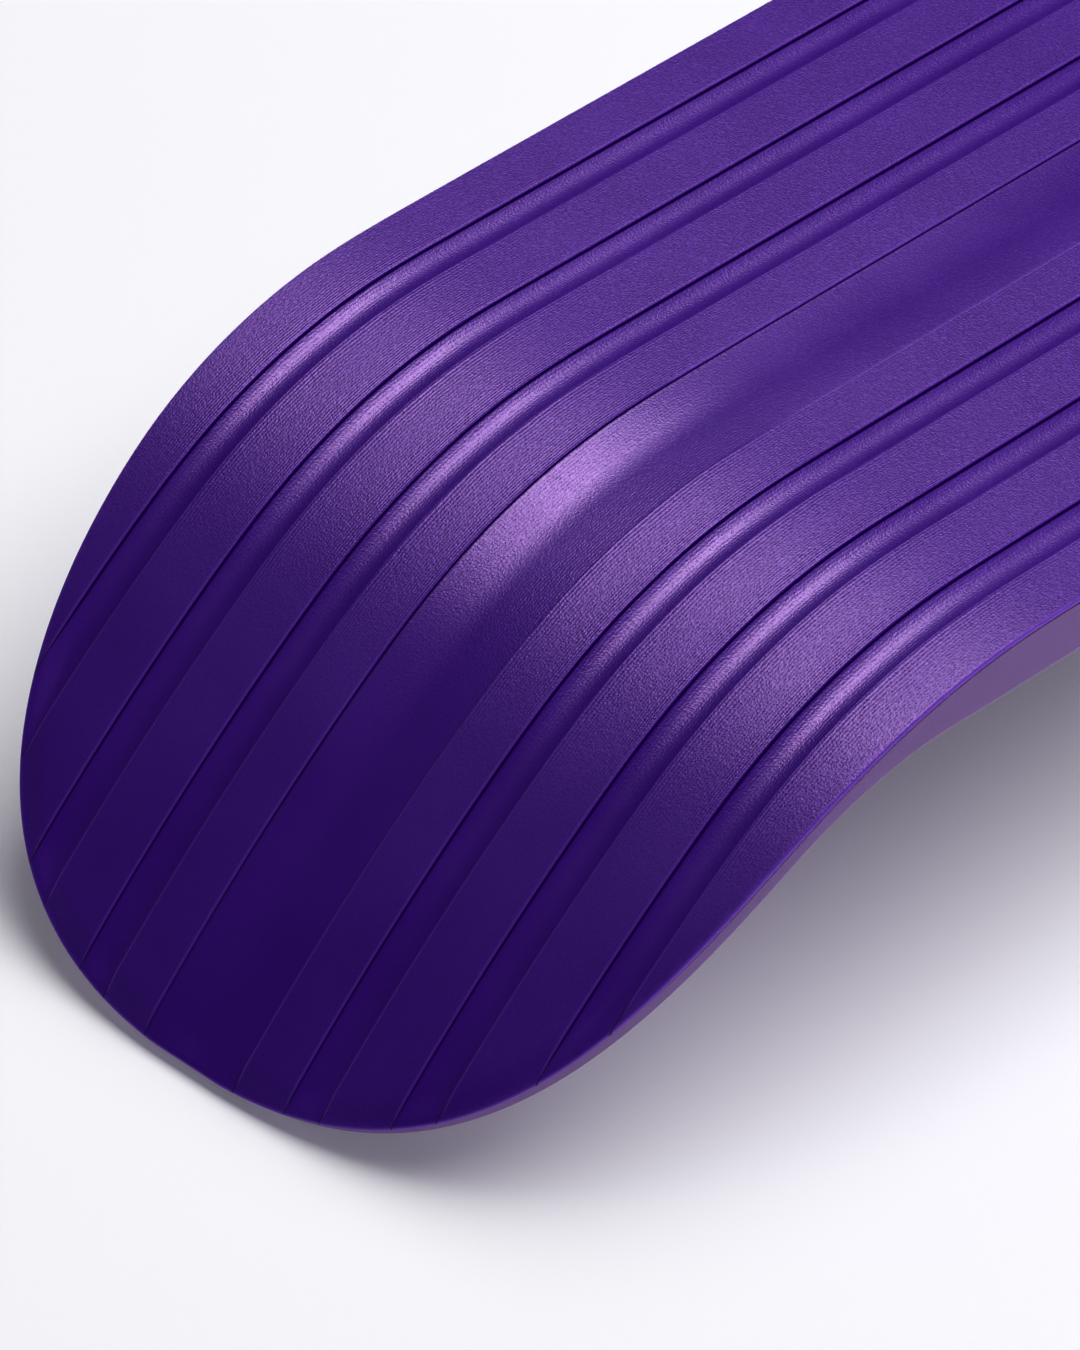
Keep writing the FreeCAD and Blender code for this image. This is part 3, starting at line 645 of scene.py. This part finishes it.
def build_ground_shell():
    columns = all_columns()
    points, origin, faces, rim = clipped_grid(
        columns, row_runs(), lambda width: outline_end(width, RIM_RADIUS),
        lambda run: outline_side(run, RIM_RADIUS))
    order = rim_order(points, rim)
    numbers = np.arange(len(columns))
    bend = np.interp(origin, numbers, [column[1] for column in columns])
    deck = np.interp(origin, numbers, [column[2] for column in columns])
    share = smooth_step(DECK_SECTION_END, BEND_SECTION_START, np.abs(points[:, 0]))
    depth = (deck + (bend - deck) * share) * fade(points[:, 0], points[:, 1])
    depth = depth + end_drop(points[:, 0], points[:, 1])
    vertices = list(surface(points[:, 0], points[:, 1], -depth))
    developed = [np.stack([points[:, 0], points[:, 1], -depth], -1)]
    loops = [order]
    rings = []
    for step in range(1, 7):
        turn = math.pi / 2.0 * step / 6.0
        rings.append((RIM_RADIUS * math.sin(turn), RIM_RADIUS * (1.0 - math.cos(turn))))
    rings += [(RIM_RADIUS, FLANGE - 0.15), (RIM_RADIUS - 0.15, FLANGE), (RIM_RADIUS - PLATE_INSET, FLANGE),
              (RIM_RADIUS - PLATE_INSET, PLATE_DEPTH)]
    base = points[order]
    rim_depth = depth[order]
    normal_run, normal_width = outline_normal(base[:, 0], base[:, 1])
    for out, down in rings:
        start = len(vertices)
        run = base[:, 0] + out * normal_run
        width = base[:, 1] + out * normal_width
        sunk = rim_depth * max(0.0, 1.0 - down / PLATE_DEPTH) + down
        vertices += list(surface(run, width, -sunk))
        developed.append(np.stack([run, width, -sunk], -1))
        loops.append(list(range(start, start + len(order))))
    for first, second in zip(loops, loops[1:]):
        faces += loop_faces(first, second)
    faces += [tuple(reversed(face)) for face in ruled_cap(order, points, loops[-1][0])]
    skin = make_object("ground_shell_skin", vertices, faces, GROUND)
    place = np.concatenate(developed)
    add_vector_attribute(skin, "developed", place * MM)
    add_float_attribute(skin, "near_lip", lip_closeness(place))
    add_float_attribute(skin, "grained", grain_share(place))
    # painted highlight along the rim and the groove lips
    add_float_attribute(skin, "painted_edge_highlight", painted_rim_lip_highlight(place))
    add_float_attribute(skin, "in_groove", smooth_step(0.0, 0.6, -lip_distance(place[:, 1])))
    # painted shade on the steep groove walls
    add_float_attribute(skin, "crevice", painted_crevice_shade(place))
    return skin


# ---------------------------------------------------------------- the foot shell
FOOT_TOP = FLANGE + SEAL
FOOT_RIM = 3.7
FOOT_EDGE = 1.2
FOOT_FLOOR = 3.2
MATING_DEPTH = 4.3
CAVITY_RUN = 228.0
CAVITY_WIDTH = 131.0
PLANAR_RUN = 160.0
PAD_CENTRE = 92.0
PAD_HALF_RUN = 48.0
PAD_HALF_WIDTH = 94.0
PAD_CORNER = 22.0
PAD_RECESS = 1.0
PAD_THICKNESS = 3.2
SCREW_RUNS = (-140.0, -70.0, 0.0, 70.0, 140.0)
SCREW_WIDTH = 124.5
BORE_RADIUS = 4.3
# the caps fill the mouths of the bores, so the bores end just past the caps
BORE_DEPTH = 1.7
CAP_RADIUS = 4.1
CAP_HEIGHT = 1.6


def rounded_rectangle(half_run, half_width, corner, grow, steps):
    """Points round a rounded rectangle grown outwards by an amount."""
    points = []
    for turn, (side_run, side_width) in enumerate(((1, 1), (-1, 1), (-1, -1), (1, -1))):
        for step in range(steps + 1):
            angle = math.pi / 2.0 * (turn + step / steps)
            points.append((side_run * (half_run - corner) + (corner + grow) * math.cos(angle),
                           side_width * (half_width - corner) + (corner + grow) * math.sin(angle)))
    return points


def circle(radius, steps):
    return [(radius * math.cos(2.0 * math.pi * step / steps), radius * math.sin(2.0 * math.pi * step / steps))
            for step in range(steps)]


def foot_grid():
    """The grid shared by the standing face and the inside of the foot shell."""
    widths = list(np.arange(-126.0, 126.1, 6.0))
    for side in (-1.0, 1.0):
        widths += [side * (CAVITY_WIDTH - 0.1), side * CAVITY_WIDTH, side * 134.0, side * (HALF_WIDTH + 1.0)]
    rows = list(np.arange(0.0, 155.0, 8.0)) + list(np.arange(PLANAR_RUN, CAVITY_RUN - 1.0, 2.0))
    rows += [CAVITY_RUN - 0.1, CAVITY_RUN] + list(np.arange(CAVITY_RUN + 2.0, 392.0, 2.0))
    rows += list(np.arange(392.0, HALF_RUN - FOOT_RIM, 0.5))
    rows = sorted(set([-row for row in rows] + rows))
    columns = [(width,) for width in sorted(widths)]
    return clipped_grid(columns, rows, lambda width: outline_end(width, FOOT_RIM),
                        lambda run: outline_side(run, FOOT_RIM))


def inside_depth(points):
    """Depth of the foot shell's inner face: a ledge round the rim, and the cavity within it."""
    run = np.abs(points[:, 0])
    in_cavity = (run < CAVITY_RUN - 0.05) & (np.abs(points[:, 1]) < CAVITY_WIDTH - 0.05)
    return np.where(in_cavity, lower_depth(run) - FOOT_FLOOR, MATING_DEPTH)


def recess_loops():
    """(loop of run and width, depth) for the foot pads' recesses and the screw counterbores."""
    loops = []
    for centre in (-PAD_CENTRE, PAD_CENTRE):
        outline = rounded_rectangle(PAD_HALF_RUN, PAD_HALF_WIDTH, PAD_CORNER, 0.25, 12)
        loops.append(([(centre + run, width) for run, width in outline], PAD_RECESS))
    for run in SCREW_RUNS:
        for width in (-SCREW_WIDTH, SCREW_WIDTH):
            loops.append(([(run + x, width + y) for x, y in circle(BORE_RADIUS, 32)], BORE_DEPTH))
    return loops


def build_foot_shell():
    points, _, faces, rim = foot_grid()
    order = rim_order(points, rim)
    count = len(points)
    standing = lower_depth(points[:, 0])
    vertices = list(surface(points[:, 0], points[:, 1], -standing))
    vertices += list(surface(points[:, 0], points[:, 1], -inside_depth(points)))
    painted_edge_highlight = [0.0] * len(vertices)
    all_faces = [tuple(count + v for v in face) for face in faces]
    limit = PLANAR_RUN + 1e-6
    all_faces += [tuple(face) for face in faces if max(abs(points[v, 0]) for v in face) > limit]
    # lower edge, side wall and top ledge as rings between the two faces; the last value of each is its share
    # of painted highlight, strongest halfway round the lower edge
    base = points[order]
    normal_run, normal_width = outline_normal(base[:, 0], base[:, 1])
    rings = []
    for step in range(7):
        turn = math.pi / 2.0 * step / 6.0
        rings.append((FOOT_RIM - FOOT_EDGE * (1.0 - math.sin(turn)), FOOT_EDGE * (1.0 - math.cos(turn)), None,
                      math.sin(turn * 2.0)))
    rings += [(FOOT_RIM, None, FOOT_TOP + 0.2, 0.0), (FOOT_RIM - 0.2, None, FOOT_TOP, 0.5),
              (0.0, None, FOOT_TOP, 0.0)]
    loops = [order]
    for out, lift, fixed, lit_share in rings:
        run = base[:, 0] + out * normal_run
        width = base[:, 1] + out * normal_width
        depth = lower_depth(run) - lift if fixed is None else np.full(len(run), fixed)
        start = len(vertices)
        vertices += list(surface(run, width, -depth))
        painted_edge_highlight += [lit_share] * len(run)
        loops.append(list(range(start, start + len(run))))
    loops.append([count + v for v in order])
    for first, second in zip(loops, loops[1:]):
        all_faces += loop_faces(first, second)
    return finish_foot_shell(vertices, all_faces, painted_edge_highlight, points, rim)


def finish_foot_shell(vertices, faces, painted_edge_highlight, points, rim):
    """Adds the flat middle of the standing face with its recesses, and makes the piece."""
    mesh = bpy.data.meshes.new("foot_shell_work")
    mesh.from_pydata([tuple(v) for v in vertices], [], faces)
    work = bmesh.new()
    work.from_mesh(mesh)
    work.verts.ensure_lookup_table()
    border = [v for v in range(len(points)) if abs(abs(points[v, 0]) - PLANAR_RUN) < 1e-6
              or (v in rim and abs(points[v, 0]) < PLANAR_RUN)]
    border.sort(key=lambda v: math.atan2(points[v, 1], points[v, 0]))
    edges = []
    add_loop(work, [work.verts[v] for v in border], edges)
    level = DECK_TOP - DECK_THICKNESS
    for outline, deep in recess_loops():
        mouth = [work.verts.new((run * MM, width * MM, level * MM)) for run, width in outline]
        floor = [work.verts.new((run * MM, width * MM, (level + deep) * MM)) for run, width in outline]
        add_loop(work, mouth, edges)
        for index in range(len(mouth)):
            after = (index + 1) % len(mouth)
            work.faces.new((mouth[index], mouth[after], floor[after], floor[index]))
        work.faces.new(floor)
    bmesh.ops.triangle_fill(work, use_beauty=True, use_dissolve=False, edges=edges)
    # painted highlight share of each vertex, which the wall material reads
    lit_layer = work.verts.layers.float.new("painted_edge_highlight")
    work.verts.ensure_lookup_table()
    for index, value in enumerate(painted_edge_highlight):
        work.verts[index][lit_layer] = value
    bmesh.ops.delete(work, geom=[v for v in work.verts if not v.link_faces], context="VERTS")
    bmesh.ops.recalc_face_normals(work, faces=work.faces)
    work.to_mesh(mesh)
    work.free()
    return link_piece("foot_shell_skin", mesh, WALL)


def add_loop(work, verts, edges):
    for index, vert in enumerate(verts):
        after = verts[(index + 1) % len(verts)]
        edges.append(work.edges.get((vert, after)) or work.edges.new((vert, after)))


# ---------------------------------------------------------------- foot pads and screw caps
PAD_EDGE = 1.3
PAD_CROWN = 0.45
STUD_PITCH = 5.0
STUD_HEIGHT = 0.35
STUD_FOOT_RADIUS = 2.0
STUD_TOP_RADIUS = 1.2
STUDDED_SHARE = 0.12
PAD_SPACING = 0.8


def pad_rim(half, other_half, value):
    """Half size of the pad's flat part along one axis, at a distance along the other axis."""
    corner = PAD_CORNER - PAD_EDGE
    beyond = abs(value) - (other_half - PAD_CORNER)
    if beyond <= 0.0:
        return half - PAD_EDGE
    if beyond >= corner:
        return 0.0
    return half - PAD_CORNER + math.sqrt(corner ** 2 - beyond ** 2)


def pad_level(run, width):
    """Height of the pad's walking face above its lowest point: crowned, with rows of low studs."""
    along = np.clip(1.0 - (run / PAD_HALF_RUN) ** 4, 0.0, 1.0)
    across = np.clip(1.0 - (width / PAD_HALF_WIDTH) ** 4, 0.0, 1.0)
    share = along * across
    shift = np.where(np.floor(width / STUD_PITCH + 0.5) % 2 == 0, 0.0, STUD_PITCH / 2.0)
    off_run = (run + shift + STUD_PITCH / 2.0) % STUD_PITCH - STUD_PITCH / 2.0
    off_width = (width + STUD_PITCH / 2.0) % STUD_PITCH - STUD_PITCH / 2.0
    stud = smooth_step(STUD_FOOT_RADIUS, STUD_TOP_RADIUS, np.hypot(off_run, off_width))
    return PAD_CROWN * (1.0 - share) + STUD_HEIGHT * (1.0 - stud * (share > STUDDED_SHARE))


def build_pad(name, centre):
    start = PAD_SPACING / 2.0
    columns = [(float(width),) for width in np.arange(-PAD_HALF_WIDTH + start, PAD_HALF_WIDTH, PAD_SPACING)]
    rows = [float(run) for run in np.arange(-PAD_HALF_RUN + start, PAD_HALF_RUN, PAD_SPACING)]
    points, _, faces, rim = clipped_grid(
        columns, rows, lambda width: pad_rim(PAD_HALF_RUN, PAD_HALF_WIDTH, width),
        lambda run: pad_rim(PAD_HALF_WIDTH, PAD_HALF_RUN, run))
    chosen = sorted(rim)
    chosen.sort(key=lambda v: math.atan2(points[v, 1] / PAD_HALF_WIDTH, points[v, 0] / PAD_HALF_RUN))
    lowest = DECK_TOP - DECK_THICKNESS + PAD_RECESS - PAD_THICKNESS
    level = lowest + pad_level(points[:, 0], points[:, 1])
    vertices = [((centre + run) * MM, width * MM, height * MM)
                for (run, width), height in zip(points, level)]
    base = points[chosen]
    hub = np.stack([np.clip(base[:, 0], PAD_CORNER - PAD_HALF_RUN, PAD_HALF_RUN - PAD_CORNER),
                    np.clip(base[:, 1], PAD_CORNER - PAD_HALF_WIDTH, PAD_HALF_WIDTH - PAD_CORNER)], -1)
    outward = base - hub
    outward /= np.linalg.norm(outward, axis=1)[:, None]
    rings = []
    for step in range(1, 7):
        turn = math.pi / 2.0 * step / 6.0
        rings.append((PAD_EDGE * math.sin(turn), PAD_EDGE * (1.0 - math.cos(turn))))
    rim_level = level[chosen]
    top = lowest + PAD_THICKNESS - 0.02
    loops = [chosen]
    for out, lift in rings:
        ring = base + outward * out
        start = len(vertices)
        vertices += [((centre + x) * MM, y * MM, (z + lift) * MM) for (x, y), z in zip(ring, rim_level)]
        loops.append(list(range(start, start + len(chosen))))
    ring = base + outward * PAD_EDGE
    start = len(vertices)
    vertices += [((centre + x) * MM, y * MM, top * MM) for x, y in ring]
    loops.append(list(range(start, start + len(chosen))))
    for first, second in zip(loops, loops[1:]):
        faces = faces + loop_faces(first, second)
    faces = faces + [tuple(loops[-1])]
    return make_object(name, vertices, faces, PAD_RUBBER)


def build_screw_caps():
    """Press-in caps over the screw heads, each slightly domed with a finger-nail dimple."""
    profile = [(0.0, 0.22), (0.9, 0.20), (1.5, 0.06), (2.2, 0.02), (3.1, 0.05), (3.7, 0.14), (4.0, 0.34),
               (CAP_RADIUS, 0.62), (CAP_RADIUS, CAP_HEIGHT)]
    level = DECK_TOP - DECK_THICKNESS
    vertices = []
    faces = []
    steps = 32
    for run in SCREW_RUNS:
        for width in (-SCREW_WIDTH, SCREW_WIDTH):
            start = len(vertices)
            vertices.append((run * MM, width * MM, (level + profile[0][1]) * MM))
            for radius, lift in profile[1:]:
                vertices += [((run + x) * MM, (width + y) * MM, (level + lift) * MM)
                             for x, y in circle(radius, steps)]
            first = [start + 1 + index for index in range(steps)]
            faces += [(start, first[(i + 1) % steps], first[i]) for i in range(steps)]
            for ring in range(len(profile) - 2):
                low = [start + 1 + ring * steps + i for i in range(steps)]
                high = [v + steps for v in low]
                faces += loop_faces(low, high)
            faces.append(tuple(start + 1 + (len(profile) - 2) * steps + i for i in range(steps)))
    return make_object("screw_caps_skin", vertices, faces, CAP_PLASTIC)


# ---------------------------------------------------------------- pieces and what they stand for
def stand_in(piece, cad_name):
    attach(piece, "root")
    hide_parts(cad_name)


stand_in(build_ground_shell(), "ground_shell")
stand_in(build_foot_shell(), "foot_shell")
stand_in(build_screw_caps(), "screw_caps")
for side_name, centre in (("left", -PAD_CENTRE), ("right", PAD_CENTRE)):
    pad = build_pad("foot_pad_" + side_name + "_skin", centre)
    stand_in(pad, "foot_pad_" + side_name)

KEPT_NODES = (("seam_seal", SEAL_RUBBER), ("rib_lattice", RIB_PLASTIC), ("shell_screws", SCREW_STEEL))
for name, material in KEPT_NODES:
    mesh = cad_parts[name].data
    mesh.materials.clear()
    mesh.materials.append(material)


# ---------------------------------------------------------------- floor, light and camera
def build_floor():
    reach = 6.0
    mesh = bpy.data.meshes.new("floor")
    mesh.from_pydata([(-reach, -reach, 0), (reach, -reach, 0), (reach, reach, 0), (-reach, reach, 0)], [],
                     [(0, 1, 2, 3)])
    floor = bpy.data.objects.new("floor", mesh)
    bpy.context.scene.collection.objects.link(floor)
    material, _, shader = new_material("floor_paper")
    shader.inputs["Base Color"].default_value = (0.86, 0.857, 0.877, 1.0)
    shader.inputs["Roughness"].default_value = 0.8
    shader.inputs["Specular IOR Level"].default_value = 0.0
    shader.inputs["Emission Color"].default_value = (0.94, 0.95, 1.0, 1.0)
    shader.inputs["Emission Strength"].default_value = 0.11
    mesh.materials.append(material)


def area_light(name, direction, distance, size_x, size_y, radiance, target):
    """Rectangular softbox whose long side lies along the board, seen from the target in a direction."""
    data = bpy.data.lights.new(name, "AREA")
    data.shape = "RECTANGLE"
    data.size = size_x
    data.size_y = size_y
    data.energy = radiance * math.pi * size_x * size_y
    lamp = bpy.data.objects.new(name, data)
    bpy.context.scene.collection.objects.link(lamp)
    towards = Vector(direction).normalized()
    side = towards.cross(Vector((1.0, 0.0, 0.0))).normalized()
    along = side.cross(towards)
    matrix = Matrix((along, side, towards)).transposed().to_4x4()
    matrix.translation = Vector(target) + towards * distance
    lamp.matrix_world = matrix
    return lamp


def build_world(strength):
    world = bpy.data.worlds.new("studio")
    bpy.context.scene.world = world
    world.use_nodes = True
    background = world.node_tree.nodes["Background"]
    background.inputs["Color"].default_value = (0.95, 0.96, 1.0, 1.0)
    background.inputs["Strength"].default_value = strength


CAMERA_AZIMUTH = math.radians(-44.678)
CAMERA_ELEVATION = math.radians(37.023)
CAMERA_ROLL = math.radians(-0.572)
CAMERA_DISTANCE = 2.685652
CAMERA_TARGET = Vector((-0.270744, -0.055445, DECK_TOP * MM))
CAMERA_LENS = 253.78


def build_camera():
    data = bpy.data.cameras.new("camera")
    data.lens = CAMERA_LENS
    data.sensor_width = 36.0
    data.clip_start = 0.1
    data.clip_end = 50.0
    camera = bpy.data.objects.new("camera", data)
    bpy.context.scene.collection.objects.link(camera)
    level = math.cos(CAMERA_ELEVATION)
    back = Vector((math.sin(CAMERA_AZIMUTH) * level, -math.cos(CAMERA_AZIMUTH) * level,
                   math.sin(CAMERA_ELEVATION)))
    right = (-back).cross(Vector((0, 0, 1))).normalized()
    up = right.cross(-back)
    cosine = math.cos(CAMERA_ROLL)
    sine = math.sin(CAMERA_ROLL)
    right, up = cosine * right + sine * up, cosine * up - sine * right
    matrix = Matrix((right, up, back)).transposed().to_4x4()
    matrix.translation = CAMERA_TARGET + back * CAMERA_DISTANCE
    camera.matrix_world = matrix
    bpy.context.scene.camera = camera


build_floor()
build_world(0.065)
# one lamp makes the highlights and the other the shading
highlight = area_light("highlight_card", direction=(0.20, 0.36, 0.91), distance=2.5, size_x=1.5, size_y=0.85,
                       radiance=21.0, target=(-0.2, -0.03, 0.1))
highlight.visible_diffuse = False
main = area_light("main_softbox", direction=(0.42, -0.22, 0.88), distance=5.0, size_x=5.0, size_y=5.0,
                  radiance=3.25, target=(-0.2, -0.03, 0.05))
main.visible_glossy = False
build_camera()
bpy.context.scene.view_settings.view_transform = "Standard"
bpy.context.scene.view_settings.exposure = 0.36
bpy.context.scene.view_settings.gamma = 0.83
